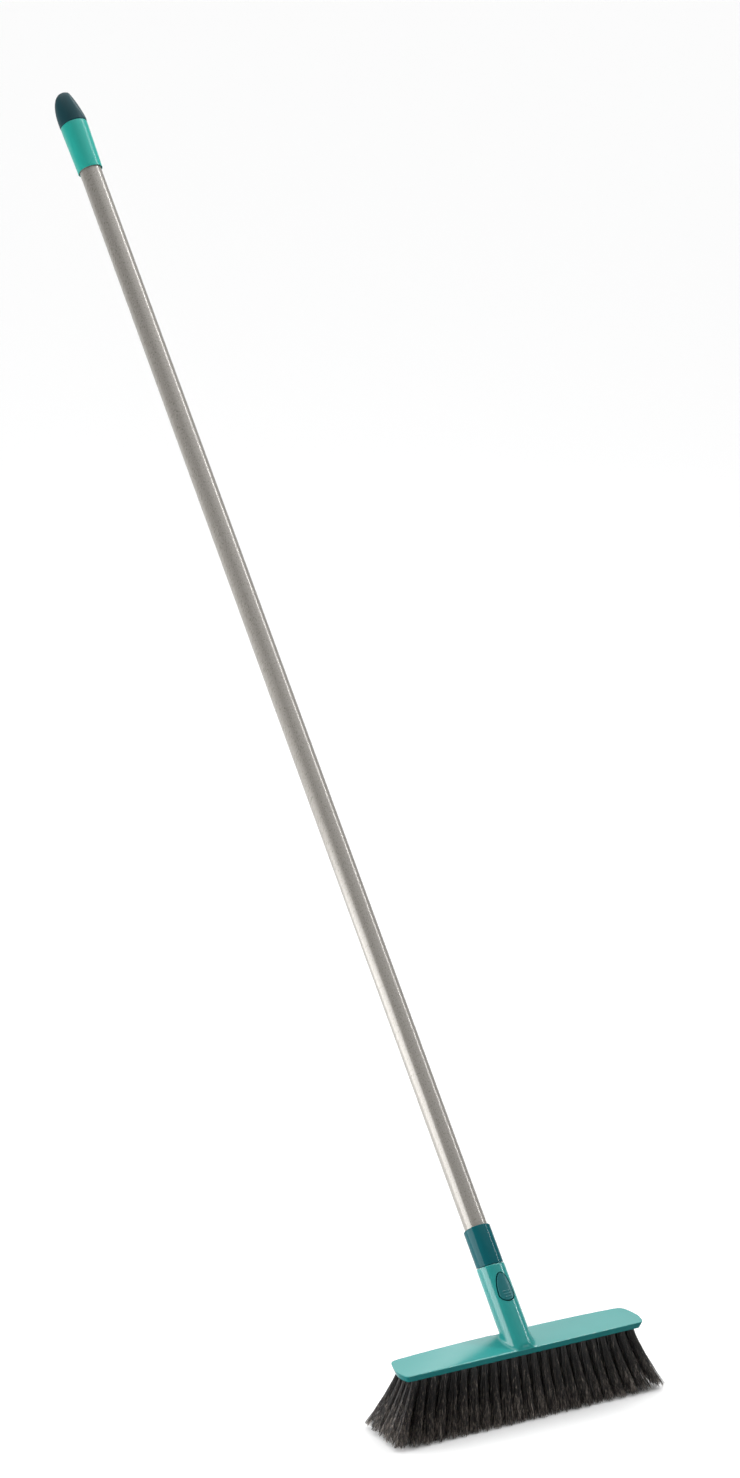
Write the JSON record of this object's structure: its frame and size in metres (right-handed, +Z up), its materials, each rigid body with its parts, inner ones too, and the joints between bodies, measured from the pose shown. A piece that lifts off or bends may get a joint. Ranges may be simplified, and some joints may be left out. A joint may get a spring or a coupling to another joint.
{
  "type": "floor broom",
  "caption": "Floor broom with a moulded head of flared bristle tufts and a leaning steel handle that clicks into the head and is let go by a sprung button.",
  "frame": {"origin": "middle of the flat face that the tuft tips sweep with, on the head's centre", "axes": "+X along the head, +Y to the side the handle leans to, +Z up out of the tufts"},
  "size_m": [0.3068, 1.0455, 1.1366],
  "materials": {
    "mint_moulding": "glossy injection-moulded polypropylene, mint turquoise",
    "teal_moulding": "satin-gloss moulded plastic, dark teal",
    "blue_teal_moulding": "satin moulded plastic, blue teal, fine ribs",
    "mint_grip": "satin moulded polypropylene sleeve, mint turquoise",
    "petrol_moulding": "satin moulded plastic, dark petrol",
    "coated_tube": "taupe-grey coated steel tube, semi-gloss",
    "spring_steel": "drawn spring wire",
    "bristle": "black-brown flagged synthetic filaments"
  },
  "bodies": {
    "broom": {"brush_head": "mint_moulding", "click_plug": "teal_moulding", "button_spring": "spring_steel", "handle_tube": "coated_tube", "grip_sleeve": "mint_grip", "hanging_cap": "petrol_moulding", "tuft_column_01": "bristle", "tuft_column_02": "bristle", "tuft_column_03": "bristle", "tuft_column_04": "bristle", "tuft_column_05": "bristle", "tuft_column_06": "bristle", "tuft_column_07": "bristle", "tuft_column_08": "bristle", "tuft_column_09": "bristle", "tuft_column_10": "bristle", "tuft_column_11": "bristle", "tuft_column_12": "bristle", "tuft_column_13": "bristle", "tuft_column_14": "bristle", "tuft_column_15": "bristle", "tuft_column_16": "bristle", "tuft_column_17": "bristle", "tuft_column_18": "bristle", "tuft_column_19": "bristle", "tuft_column_20": "bristle", "tuft_column_21": "bristle", "tuft_column_22": "bristle", "tuft_column_23": "bristle"},
    "button": {"release_button": "blue_teal_moulding"}
  },
  "joints": [
    {"name": "button_press", "type": "slide", "parent": "broom", "child": "button", "axis": [0, 0.7248, -0.689], "range_m": [0, 0.0034], "stiffness_N_per_m": 900, "springref_m": -0.002, "deforming": ["button_spring"]}
  ]
}
